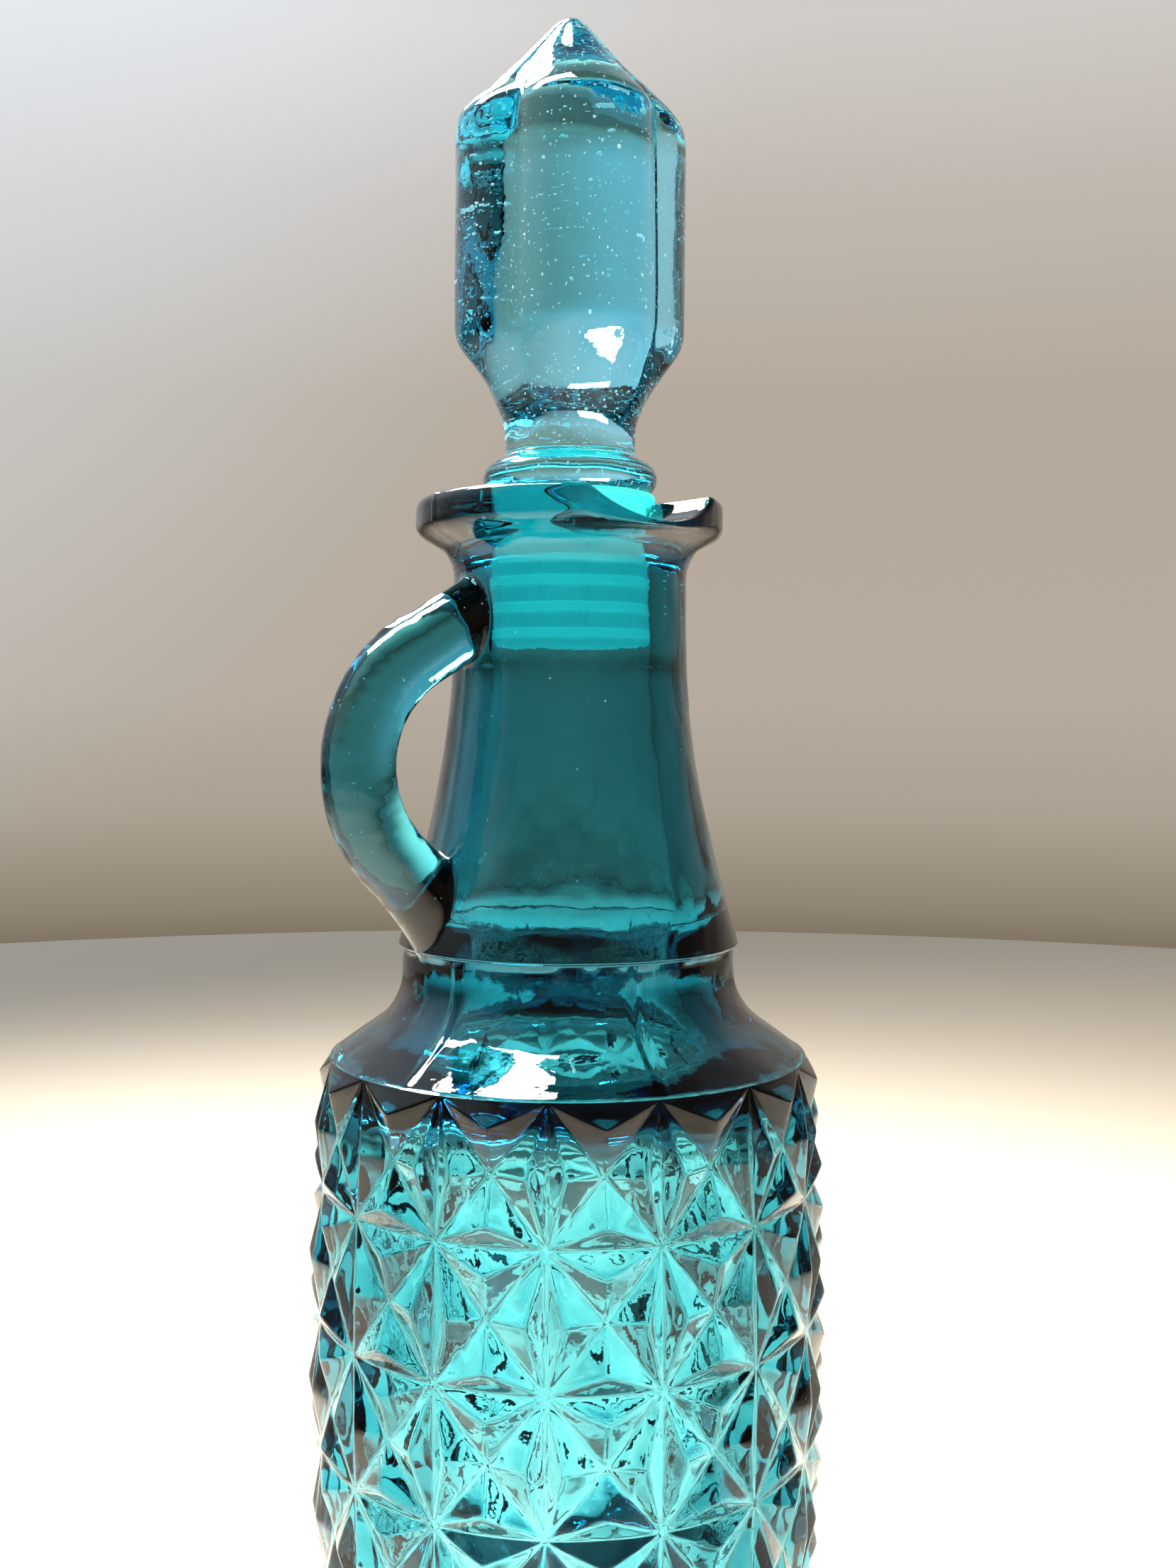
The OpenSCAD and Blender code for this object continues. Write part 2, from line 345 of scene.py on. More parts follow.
# ---------------------------------------------------------------- bottle details
def notch_height(x, y):
    """Height of the pouring scoop's surface over a point of the rim."""
    along = x * math.cos(NOTCH_BEARING) + y * math.sin(NOTCH_BEARING)
    across = -x * math.sin(NOTCH_BEARING) + y * math.cos(NOTCH_BEARING)
    outer = ((NOTCH_WIDTH / 2) ** 2 + NOTCH_DEPTH ** 2) / (2 * NOTCH_DEPTH)
    radius = SCOOP_R + (outer - SCOOP_R) * np.clip(along, 0, None) / (RIM_R + 6)
    inside = np.clip(radius ** 2 - across ** 2, 0, None)
    rise = radius - np.sqrt(inside)
    return np.where((along > 0) & (inside > 0), RIM_Z - NOTCH_DEPTH + rise, RIM_Z + 40)


def press_notch(grid):
    """Lowers the rim where the pouring notch was pressed into it."""
    top = soft_min([notch_height(grid[..., 0], grid[..., 1]), np.full(grid.shape[:2], RIM_Z)], NOTCH_EDGE)
    base = RIM_BAND_Z - 1.2
    share = np.clip((top - base) / (RIM_Z - base), 0.05, 1)
    pressed = grid.copy()
    high = grid[..., 2] > base
    pressed[..., 2] = np.where(high, base + (grid[..., 2] - base) * share, grid[..., 2])
    return pressed


def bearing_gap(grid, bearing):
    """Distance round the axis from a bearing, in millimetres."""
    angle = np.arctan2(grid[..., 1], grid[..., 0]) - bearing
    angle = (angle + math.pi) % (2 * math.pi) - math.pi
    return np.abs(angle) * np.linalg.norm(grid[..., :2], axis=-1)


def mould_seams(grid, bearings, height, width):
    """A raised line, such as the mould leaves, at each bearing."""
    amount = np.zeros(grid.shape[:2])
    for bearing in bearings:
        amount += height * np.exp(-(bearing_gap(grid, bearing) / width) ** 2)
    return amount


def neck_warp(grid):
    """The slight unevenness of the ring and neck, and the mould's two seams."""
    flat = grid.reshape(-1, 3)
    wave = 0.05 * ripple(flat * (1, 1, 0.35), 9, 3) + 0.02 * ripple(flat * (1, 1, 0.5), 3.5, 4)
    amount = wave.reshape(grid.shape[:2]) + mould_seams(grid, (0, HANDLE_BEARING), 0.22, 0.3)
    return push_out(grid, amount)


SHOULDER_SEAMS = [math.radians(a) for a in (199, 259, 19, 79)]


def shoulder_warp(grid):
    """The slight unevenness of the shoulder above the pattern, and its four seams."""
    flat = grid.reshape(-1, 3)
    wave = 0.06 * ripple(flat, 11, 5) + 0.02 * ripple(flat, 4, 6)
    fade = np.clip((grid[..., 2] - PATTERN_TOP) / 1.5, 0, 1)
    amount = wave.reshape(grid.shape[:2]) + mould_seams(grid, SHOULDER_SEAMS, 0.45, 0.45)
    return push_out(grid, amount * fade)


def rim_warp(grid):
    """The rim's unevenness, kept within its nominal size, with the notch pressed in."""
    flat = grid.reshape(-1, 3)
    wave = 0.045 * ripple(flat, 8, 7) + 0.015 * ripple(flat, 3, 8)
    fade = np.clip((grid[..., 2] - COLLAR_Z) / 1.5, 0, 1)
    amount = wave.reshape(grid.shape[:2]) * fade + mould_seams(grid, (0, HANDLE_BEARING), 0.22, 0.3)
    amount = np.where(amount > 0, np.minimum(amount, 0.25), amount) - 0.15 * fade
    return press_notch(push_out(grid, amount))


def inside_warp(grid):
    """The wavy inside: calm round the ring, crinkled in the body and streaked along the neck."""
    flat = grid.reshape(-1, 3)
    wave = ripple(flat * (1, 1, 0.6), 22, 9).reshape(grid.shape[:2])
    fine = ripple(flat, 7, 10).reshape(grid.shape[:2])
    reach = np.linalg.norm(grid[..., :2], axis=-1)
    share = np.clip((166 - grid[..., 2]) / 20, 0, 1) * np.clip(reach / 20, 0, 1)
    body = np.clip((112 - grid[..., 2]) / 10, 0, 1)
    crinkle = ripple(flat, 2.6, 12).reshape(grid.shape[:2])
    calm = 1 - 0.75 * np.exp(-((grid[..., 2] - 114) / 9) ** 2)
    waves = 0.08 * wave + 0.02 * fine + body * (0.2 * wave + 0.05 * fine + 0.035 * crinkle)
    streaks = 0.05 * ripple(flat * (1, 1, 0.07), 4.5, 13).reshape(grid.shape[:2])
    return push_out(grid, share * (calm * waves + np.clip((grid[..., 2] - 120) / 12, 0, 1) * streaks))


# ---------------------------------------------------------------- pressed pattern
def pattern_points(column, row, raised):
    """Points of the pattern from fractional columns and rows, raised above the grooves."""
    z = FOOT_H + row * ROW_H
    r = groove_at(z) + raised
    a = STAR_BEARING + column * 2 * math.pi / COLUMNS
    return np.stack([r * np.cos(a), r * np.sin(a), z], -1)


def facet_weights():
    """Weights of the points of one facet, closer together near its edges."""
    n = FACET_STEPS
    weights = np.array([(i, j, n - i - j) for i in range(n + 1) for j in range(n + 1 - i)], float) / n
    weights = weights ** EDGE_CROWDING
    weights /= weights.sum(1)[:, None]
    index = {}
    for i in range(n + 1):
        for j in range(n + 1 - i):
            index[i, j] = len(index)
    faces = []
    for i in range(n):
        for j in range(n - i):
            faces.append((index[i, j], index[i + 1, j], index[i, j + 1]))
            if i + j < n - 1:
                faces.append((index[i + 1, j], index[i + 1, j + 1], index[i, j + 1]))
    return weights, np.array(faces)


def press_pattern(shell):
    """Four three-sided points in every cell, between grooves that cross at eight-rayed stars."""
    weights, facet_faces = facet_weights()
    middle = (0.5, 0.5)
    corners = [(0, 0), (1, 0), (1, 1), (0, 1)]
    triangles = [(corners[k], corners[(k + 1) % 4], middle) for k in range(4)]
    for row in range(ROWS):
        for column in range(COLUMNS):
            for triangle in triangles:
                tri = np.array(triangle)
                tip = tri.mean(0)
                for k in range(3):
                    facet = np.array([tri[k], tri[(k + 1) % 3], tip])
                    uv = weights @ facet
                    # how near each point lies to the three grooves, from 0 on a groove to 1 at the tip
                    corners_of = np.vstack([tri.T, np.ones(3)])
                    share = np.linalg.solve(corners_of, np.vstack([uv.T, np.ones(len(uv))]))
                    height = 3 * RELIEF * soft_min(list(share), TIP_SOFTNESS)
                    raised = np.sqrt(np.clip(height, 0, None) ** 2 + GROOVE_SOFTNESS ** 2)
                    xyz = pattern_points(column + uv[:, 0], row + uv[:, 1], raised)
                    first = shell.add_points(xyz)[0]
                    shell.faces.extend((facet_faces + first).tolist())


def ring_near(shell, z, reach=0.02):
    """The pattern's edge ring at a height, each place once."""
    points = np.concatenate(shell.points)
    ids = np.nonzero(np.abs(points[:, 2] - z) < reach)[0]
    keys = {}
    for i in ids:
        keys.setdefault(round(math.atan2(points[i, 1], points[i, 0]), 5), i)
    return np.array(list(keys.values()))


# ---------------------------------------------------------------- handle
def handle_line():
    """Middle line of the handle: points, outward directions and swelling, root to root."""
    foot, top = -HANDLE_FOOT_ANGLE, HANDLE_TOP_ANGLE
    past = np.linspace(ROOT_LENGTH, 0, 25)[:-1]
    stations = [(foot, p) for p in past] + [(b, 0.0) for b in np.linspace(foot, top, 91)]
    stations += [(top, p) for p in past[::-1]]
    line = []
    for bearing, beyond in stations:
        x = -HANDLE_OFFSET - HANDLE_BEND_R * math.cos(bearing) + beyond * abs(math.sin(bearing))
        z = HANDLE_Z + HANDLE_BEND_R * math.sin(bearing) + math.copysign(beyond, bearing) * math.cos(bearing)
        out = np.array([-math.cos(bearing), 0, math.sin(bearing)])
        swell = (FOOT_SWELL if bearing < 0 else TOP_SWELL) * (beyond / ROOT_LENGTH) ** 2
        line.append((np.array([x, 0, z]), out, swell))
    return line


def build_handle():
    """The handle as a closed swept solid, with a swollen root at each end."""
    shell = Shell()
    around = np.linspace(0, 2 * math.pi, HANDLE_SIDES, endpoint=False)
    rows = []
    for centre, out, swell in handle_line():
        thick = HANDLE_THICK / 2 + swell
        wide = HANDLE_WIDE / 2 + swell
        across = thick * np.cos(around)[:, None] * out + wide * np.sin(around)[:, None] * np.array([0, 1, 0])
        rows.append(centre + across)
    grid = np.array(rows)
    centres = grid.mean(1, keepdims=True)
    away = grid - centres
    length = np.linalg.norm(away, axis=-1, keepdims=True)
    flat = grid.reshape(-1, 3)
    peel = 0.018 * ripple(flat, 4, 21) + 0.009 * ripple(flat, 1.8, 22) + 0.05 * ripple(flat, 17, 23)
    peel = peel.reshape(grid.shape[:2])
    side = np.minimum(around, 2 * math.pi - around) * HANDLE_THICK / 2
    middles = centres.reshape(-1, 3)
    ragged = 0.5 + 0.5 * ripple(middles, 4.5, 24) + 0.35 * ripple(middles, 1.6, 25)
    flash = 0.22 * np.clip(ragged, 0, 1.2)[:, None] * np.exp(-(side / 0.5) ** 2)[None, :]
    grid = centres + away * (1 + (peel + flash - 0.32)[..., None] / length)
    ids = shell.add_grid(grid, flip=True)
    shell.add_fan(ids[0], grid[0].mean(0), flip=False)
    shell.add_fan(ids[-1], grid[-1].mean(0), flip=True)
    work = shell.bmesh()
    bmesh.ops.recalc_face_normals(work, faces=work.faces)
    return to_object(work, "handle_cutter")


# ---------------------------------------------------------------- bottle
def build_neck():
    """The shoulder and neck as a closed solid for the handle to be fused on, and its top ring."""
    shell = Shell()
    shoulder = turned(even_path(shoulder_outline, 0.8, 2), BEARINGS, shoulder_warp)
    ring = turned(even_path(ring_outline, 0.15, 1), BEARINGS, neck_warp)
    neck = turned(even_path(neck_outline, 0.9, 1), BEARINGS, neck_warp)
    ring[0], neck[0] = shoulder[-1], ring[-1]
    low = shell.add_grid(shoulder)
    shell.add_grid(ring)
    high = shell.add_grid(neck)
    shell.faces.append(low[0][::-1].tolist())
    shell.faces.append(high[-1].tolist())
    work = shell.bmesh()
    bmesh.ops.recalc_face_normals(work, faces=work.faces)
    return to_object(work, "neck"), neck[-1]


def fuse(base, addition):
    """Joins two closed solids into one surface."""
    join = base.modifiers.new("fuse", "BOOLEAN")
    join.operation = "UNION"
    join.solver = "EXACT"
    join.object = addition
    bpy.context.view_layer.update()
    graph = bpy.context.evaluated_depsgraph_get()
    mesh = bpy.data.meshes.new_from_object(base.evaluated_get(graph))
    for piece in (base, addition):
        bpy.data.objects.remove(piece)
    work = bmesh.new()
    work.from_mesh(mesh)
    bpy.data.meshes.remove(mesh)
    bmesh.ops.scale(work, vec=(1 / MM, 1 / MM, 1 / MM), verts=work.verts)
    return work


def on_neck(vert):
    """Whether a point lies on the neck's own surface, or in the cove under the rim."""
    reach = math.hypot(vert.co.x, vert.co.y)
    on_cove = vert.co.z > COVE_Z - 2 and reach < NECK_R + 2.5
    return 124 < vert.co.z < COLLAR_Z - 0.3 and (on_cove or abs(reach - neck_at(vert.co.z)) < 0.45)


def soften_joint(work):
    """Rounds the corner where the handle runs into the neck, and leaves the neck's top ring as it is."""
    sharp_angle = 0.35
    handle_side_x = -12
    rings_each_way = 3
    rounds = 8
    zone = set()
    for edge in work.edges:
        if len(edge.link_faces) == 2 and edge.calc_face_angle(0) > sharp_angle:
            a, b = edge.verts
            if a.co.x < handle_side_x and on_neck(a) and on_neck(b):
                zone.update(edge.verts)
    for _ in range(rings_each_way):
        zone.update([e.other_vert(v) for v in list(zone) for e in v.link_edges])
    zone = {v for v in zone if v.co.z < COLLAR_Z - 0.8}
    for _ in range(rounds):
        bmesh.ops.smooth_vert(
            work, verts=list(zone), factor=0.5, use_axis_x=True, use_axis_y=True, use_axis_z=True
        )


def bubble(shell, centre, radius, stretch=1.0):
    """A seed in the glass: a small round hollow, facing inwards."""
    steps, layers = 8, 5
    around = np.linspace(0, 2 * math.pi, steps, endpoint=False)
    tilt = np.linspace(0, math.pi, layers + 1)[1:-1]
    grid = np.array([
        [[math.sin(t) * math.cos(a), math.sin(t) * math.sin(a), stretch * math.cos(t)] for a in around]
        for t in tilt
    ]) * radius + np.array(centre)
    ids = shell.add_grid(grid, flip=False)
    shell.add_fan(ids[0], np.array(centre) + (0, 0, radius * stretch), flip=True)
    shell.add_fan(ids[-1], np.array(centre) - (0, 0, radius * stretch), flip=False)


def bottle_seeds(shell, count):
    """Scatters seeds in the walls of the body, neck and rim. The shoulder has none."""
    for _ in range(count):
        z = rng.uniform(14, 188)
        a = rng.uniform(0, 2 * math.pi)
        if z < 100:
            r = rng.uniform(CAVITY_R + 1.0, groove_at(z) - 0.9)
        elif z < 126:
            continue
        elif z < 182:
            r = rng.uniform(max(BORE_R, neck_at(z) - NECK_WALL) + 0.8, neck_at(z) - 1.0)
        else:
            r = rng.uniform(BORE_R + 1.2, NECK_R - 0.5)
        bubble(shell, (r * math.cos(a), r * math.sin(a), z), rng.uniform(0.05, 0.15), rng.uniform(1.0, 1.6))


def handle_seeds(shell, count):
    """Scatters seeds along the handle, near its middle line."""
    line = handle_line()
    spread = 4.6
    for _ in range(count):
        centre, out, _ = line[rng.integers(8, len(line) - 8)]
        across = np.array([0, 1, 0])
        a = rng.uniform(0, 2 * math.pi)
        r = spread * math.sqrt(rng.uniform(0, 1))
        bubble(shell, centre + r * math.cos(a) * out + r * math.sin(a) * across, rng.uniform(0.06, 0.14))


def build_bottle():
    """The whole vessel as one closed surface: outside, handle, rim, bore and cavity, and its seeds."""
    neck, collar_ring = build_neck()
    work = fuse(neck, build_handle())
    lids = [f for f in work.faces if len(f.verts) > 40]
    bmesh.ops.delete(work, geom=lids, context="FACES_ONLY")
    soften_joint(work)

    shell = Shell()
    press_pattern(shell)
    foot_ring, top_ring = ring_near(shell, FOOT_H), ring_near(shell, PATTERN_TOP)
    shoulder = turned(even_path(shoulder_outline, 0.8, 2), BEARINGS, shoulder_warp)
    shoulder_ring = shell.add_points(shoulder[0])
    shell.zip_rings(top_ring, shoulder_ring)
    foot = shell.add_grid(turned(even_path(foot_outline, 0.9, 1), BEARINGS), flip=True)
    shell.zip_rings(foot_ring, foot[0], flip=True)
    shell.add_fan(foot[-1], (0, 0, 1.6), flip=True)

    rim = turned(even_path(rim_outline, 0.45, 1), BEARINGS, rim_warp)
    rim[0] = collar_ring
    shell.add_grid(rim)
    mouth = turned(even_path(mouth_outline, 0.55, 0), BEARINGS, rim_warp)
    mouth[0] = rim[-1]
    shell.add_grid(mouth)
    bore = turned(even_path(bore_outline, 1.0, 0), BEARINGS, press_notch)
    bore[0] = mouth[-1]
    shell.add_grid(bore)
    inside = turned(even_path(throat_outline, 1.5, 2), BEARINGS, inside_warp)
    inside[0] = bore[-1]
    ids = shell.add_grid(inside)
    shell.add_fan(ids[-1], (0, 0, FLOOR_Z + 0.9))
    shell.seeds_from = len(shell.faces)
    bottle_seeds(shell, BOTTLE_SEEDS)
    handle_seeds(shell, HANDLE_SEEDS)

    rest = shell.bmesh()
    mesh = bpy.data.meshes.new("rest")
    rest.to_mesh(mesh)
    rest.free()
    work.from_mesh(mesh)
    bpy.data.meshes.remove(mesh)
    bmesh.ops.remove_doubles(work, verts=work.verts, dist=0.004)
    bmesh.ops.dissolve_degenerate(work, edges=work.edges, dist=0.0005)
    return to_object(work, "bottle_glass")


# ---------------------------------------------------------------- stopper
def lobe_reach(bearing):
    """Radius of the four-lobed outline at a bearing, with softened valleys."""
    offset = FINIAL_R - LOBE_R
    angles = bearing - LOBE_BEARING - np.arange(4).reshape(4, *[1] * np.ndim(bearing)) * math.pi / 2
    reaches = offset * np.cos(angles) + np.sqrt(LOBE_R ** 2 - (offset * np.sin(angles)) ** 2)
    return -soft_min(list(-reaches), 0.3)


envelope_outline = (
    [(SHANK_R, FINIAL_FOOT_Z - 2), (SHANK_R, FINIAL_FOOT_Z), (11.4, FINIAL_FOOT_Z + 2.7)]
    + [(14.3, FINIAL_FOOT_Z + 7.7), (16.5, FINIAL_FOOT_Z + 10.6)]
    + arc(FINIAL_R - 4, FINIAL_BASE_Z + 1.4, 4, -28, 0, 4)
    + arc(FINIAL_R - 4, FINIAL_TOP_Z, 4, 0, 50, 6)
    + [(14.1, 255), (11.2, 257.6), (8.7, 260), (6.3, 262.8)]
    + arc(0, STOPPER_TIP_Z - 4, 4, 50, 84, 5)
)


def finial_reach(envelope, z, bearing):
    """Radius of the finial: flutes that run out towards its foot and its tip."""
    depth = np.clip((z - FINIAL_FOOT_Z) / (FINIAL_BASE_Z - FINIAL_FOOT_Z), 0, 1) ** 1.5
    depth = depth * (1 - 0.35 * np.clip((z - FINIAL_TOP_Z) / (STOPPER_TIP_Z - FINIAL_TOP_Z), 0, 1))
    return envelope * (1 - depth * (1 - lobe_reach(bearing) / FINIAL_R))


def build_stopper():
    """The shank and bead as a turned outline, the fluted finial on top, and its seeds."""
    shell = Shell()
    bead_z = SLEEVE_TOP_Z + 0.02
    low = STOPPER_FOOT_Z
    shank = (
        [(0.6, low), (SHANK_R - 1.2, low)]
        + arc(SHANK_R - 1.0, low + 1.0, 1.0, -80, 0, 3)
        + [(SHANK_R, bead_z - 0.3), (SHANK_R + 0.2, bead_z)]
        + [(BEAD_R - 2.2, bead_z)]
        + arc(BEAD_R - 2.5, bead_z + 2.6, 2.5, -75, 75, 12)
        + [(SHANK_R + 0.9, bead_z + 5.45), (SHANK_R + 0.2, bead_z + 6.0), (SHANK_R, bead_z + 7)]
        + [(SHANK_R, FINIAL_FOOT_Z - 2)]
    )
    bearings = np.linspace(0, 2 * math.pi, 240, endpoint=False)
    lower = turned(even_path(shank, 0.35, 1), bearings)
    flat = lower.reshape(-1, 3)
    above = np.clip((lower[..., 2] - bead_z - 1.5) / 2, 0, 1)
    lower = push_out(lower, 0.035 * above * ripple(flat, 5, 31).reshape(lower.shape[:2]))

    path = even_path(envelope_outline, 0.6, 7)
    reach = finial_reach(path[:, :1], path[:, 1:], bearings[None, :])
    heights = path[:, 1:] + 0 * bearings
    grid = np.stack([reach * np.cos(bearings), reach * np.sin(bearings), heights], 2)
    flat = grid.reshape(-1, 3)
    settle = np.clip((grid[..., 2] - FINIAL_FOOT_Z) / 6, 0, 1)
    wave = 0.09 * ripple(flat * (1, 1, 0.3), 10, 32) + 0.012 * ripple(flat * (1, 1, 0.5), 4, 33)
    grid = push_out(grid, settle * wave.reshape(grid.shape[:2]) - 0.1 * settle)
    grid[0] = lower[-1]
    ids = shell.add_grid(lower)
    shell.add_fan(ids[0], (0, 0, low), flip=True)
    ids = shell.add_grid(grid)
    shell.add_fan(ids[-1], (0, 0, STOPPER_TIP_Z - 0.05))

    shell.seeds_from = len(shell.faces)
    for _ in range(STOPPER_SEEDS):
        z = rng.uniform(low + 2, STOPPER_TIP_Z - 3)
        a = rng.uniform(0, 2 * math.pi)
        envelope = SHANK_R if z < FINIAL_FOOT_Z else float(np.interp(z, path[:, 1], path[:, 0]))
        r = (float(finial_reach(envelope, z, a)) - 0.8) * math.sqrt(rng.uniform(0, 1))
        size = min(0.07 + 0.035 * rng.exponential(1.0), 0.26)
        bubble(shell, (r * math.cos(a), r * math.sin(a), z), size, rng.uniform(1.0, 1.8))
    return to_object(shell.bmesh(0.0005), "stopper_glass")


# ---------------------------------------------------------------- sleeve
def build_sleeve():
    """The plastic sleeve: sealing ribs outside, a plain bore and a flange on the rim."""
    low, high = SLEEVE_FOOT_Z, SLEEVE_TOP_Z
    flange_z = high - FLANGE_T
    inner_r = SHANK_R + 0.05
    body_r = BORE_R - 0.75
    rib_r = BORE_R - 0.06
    outline = [(inner_r, low + 0.4), (inner_r + 0.5, low)]
    outline += [(body_r - 0.2, low), (body_r, low + 0.3)]
    for i in range(RIB_COUNT):
        rib = low + FIRST_RIB + RIB_PITCH * i
        outline += [(body_r, rib - 0.2), (rib_r, rib + 0.1)]
        outline += [(rib_r, rib + RIB_H - 0.1), (body_r, rib + RIB_H + 0.2)]
    outline += [(body_r, flange_z - 0.1), (body_r + 0.15, flange_z + 0.02), (FLANGE_R - 0.2, flange_z + 0.02)]
    outline += [(FLANGE_R, flange_z + 0.25), (FLANGE_R, high - 0.3), (FLANGE_R - 0.25, high)]
    outline += [(inner_r + 0.3, high)]
    outline += [(inner_r, high - 0.3)]
    inside = [(inner_r, high - 0.3), (inner_r, low + 0.4)]
    bearings = np.linspace(0, 2 * math.pi, 192, endpoint=False)

    def fins(grid):
        """Low upright fins between the ribs, at every thirty degrees."""
        reach = np.linalg.norm(grid[..., :2], axis=-1)
        gap = np.min([bearing_gap(grid, math.radians(k * 30 + 8)) for k in range(12)], axis=0)
        wall = (reach > body_r - 0.05) & (reach < rib_r - 0.1) & (grid[..., 2] < flange_z - 0.5)
        return push_out(grid, np.where(wall, 0.45 * np.exp(-(gap / 0.45) ** 4), 0))

    shell = Shell()
    outside = turned(even_path(outline, 0.3, 0), bearings, fins)
    shell.add_grid(outside)
    back = turned(even_path(inside, 1.2, 0), bearings)
    back[0], back[-1] = outside[-1], outside[0]
    shell.add_grid(back)
    return to_object(shell.bmesh(), "sleeve_plastic")


# ---------------------------------------------------------------- materials
TEAL = (0.0, 0.655, 0.73)
TEAL_DENSITY = 272
TEAL_BUMPS = [(420, 0.00003), (1400, 0.000006)]
PALE_TEAL = (0.0, 0.76, 0.865)
PALE_DENSITY = 48
PALE_BUMPS = [(420, 0.00004), (160, 0.00007)]


def new_material(name):
    """A material with one shader, and the parts that the others build on."""
    material = bpy.data.materials.new(name)
    material.use_nodes = True
    tree = material.node_tree
    tree.nodes.clear()
    shader = tree.nodes.new("ShaderNodeBsdfPrincipled")
    output = tree.nodes.new("ShaderNodeOutputMaterial")
    tree.links.new(shader.outputs["BSDF"], output.inputs["Surface"])
    return material, tree, shader, output


def noise_node(tree, scale, detail=2.0):
    place = tree.nodes.new("ShaderNodeTexCoord")
    noise = tree.nodes.new("ShaderNodeTexNoise")
    noise.inputs["Scale"].default_value = scale
    noise.inputs["Detail"].default_value = detail
    tree.links.new(place.outputs["Object"], noise.inputs["Vector"])
    return noise


def add_bump(tree, shader, layers):
    """Stacks bumps: each layer is (texture scale, distance in metres)."""
    last = None
    for scale, distance in layers:
        noise = noise_node(tree, scale)
        bump = tree.nodes.new("ShaderNodeBump")
        bump.inputs["Strength"].default_value = 1.0
        bump.inputs["Distance"].default_value = distance
        tree.links.new(noise.outputs["Fac"], bump.inputs["Height"])
        if last is not None:
            tree.links.new(last.outputs["Normal"], bump.inputs["Normal"])
        last = bump
    tree.links.new(last.outputs["Normal"], shader.inputs["Normal"])


def frost_grooves(tree, shader):
    """Roughness: nearly none on open faces, more in creases, where the mould left its grain."""
    geometry = tree.nodes.new("ShaderNodeNewGeometry")
    crease = tree.nodes.new("ShaderNodeMapRange")
    crease.inputs["From Min"].default_value = 0.495
    crease.inputs["From Max"].default_value = 0.44
    crease.inputs["To Min"].default_value = 0.0
    crease.inputs["To Max"].default_value = 0.06
    tree.links.new(geometry.outputs["Pointiness"], crease.inputs["Value"])
    noise = noise_node(tree, 260, 4.0)
    grain = tree.nodes.new("ShaderNodeMapRange")
    grain.inputs["From Min"].default_value = 0.45
    grain.inputs["From Max"].default_value = 0.75
    grain.inputs["To Min"].default_value = 0.0
    grain.inputs["To Max"].default_value = 0.02
    tree.links.new(noise.outputs["Fac"], grain.inputs["Value"])
    total = tree.nodes.new("ShaderNodeMath")
    total.operation = "ADD"
    tree.links.new(crease.outputs["Result"], total.inputs[0])
    tree.links.new(grain.outputs["Result"], total.inputs[1])
    tree.links.new(total.outputs["Value"], shader.inputs["Roughness"])


def glass_material(name, depth_colour, density, layers):
    """Clear glass whose colour comes from its thickness; density is absorption per metre."""
    material, tree, shader, output = new_material(name)
    shader.inputs["Base Color"].default_value = (0.93, 0.99, 1.0, 1)
    shader.inputs["IOR"].default_value = 1.51
    shader.inputs["Transmission Weight"].default_value = 1.0
    frost_grooves(tree, shader)
    add_bump(tree, shader, layers)
    absorb = tree.nodes.new("ShaderNodeVolumeAbsorption")
    absorb.inputs["Color"].default_value = (*depth_colour, 1)
    absorb.inputs["Density"].default_value = density
    tree.links.new(absorb.outputs["Volume"], output.inputs["Volume"])
    return material


def seed_material():
    """Gas seeds. Their glow stands for the light that they catch inside the glass."""
    material, tree, shader, _ = new_material("gas_seeds")
    tint = noise_node(tree, 700)
    ramp = tree.nodes.new("ShaderNodeValToRGB")
    ramp.color_ramp.elements[0].position = 0.35
    ramp.color_ramp.elements[0].color = (0.45, 0.60, 0.65, 1)
    ramp.color_ramp.elements[1].position = 0.65
    ramp.color_ramp.elements[1].color = (1.0, 1.0, 1.0, 1)
    tree.links.new(tint.outputs["Fac"], ramp.inputs["Fac"])
    tree.links.new(ramp.outputs["Color"], shader.inputs["Base Color"])
    tree.links.new(ramp.outputs["Color"], shader.inputs["Emission Color"])
    shader.inputs["Emission Strength"].default_value = 0.5
    shader.inputs["Roughness"].default_value = 0.2
    material.cycles.emission_sampling = "NONE"
    return material


def ribs_by_height(tree):
    """1 on the sleeve's ribs and its plain top, and 0 between the ribs. It sets where the painted glow is
    bright, and where the painted shade between the ribs falls.
    """
    place = tree.nodes.new("ShaderNodeTexCoord")
    split = tree.nodes.new("ShaderNodeSeparateXYZ")
    tree.links.new(place.outputs["Object"], split.inputs["Vector"])

    def math_node(operation, first, second):
        node = tree.nodes.new("ShaderNodeMath")
        node.operation = operation
        for socket, value in zip(node.inputs, (first, second)):
            if isinstance(value, (int, float)):
                socket.default_value = value
            else:
                tree.links.new(value, socket)
        return node.outputs["Value"]

    height = math_node("SUBTRACT", split.outputs["Z"], (SLEEVE_FOOT_Z + FIRST_RIB) * MM)
    turn = math_node("DIVIDE", height, RIB_PITCH * MM)
    on_rib = math_node("LESS_THAN", math_node("FRACT", turn, 0), RIB_H / RIB_PITCH + 0.06)
    on_top = math_node("GREATER_THAN", turn, RIB_COUNT - 0.9)
    return math_node("MAXIMUM", on_rib, on_top)


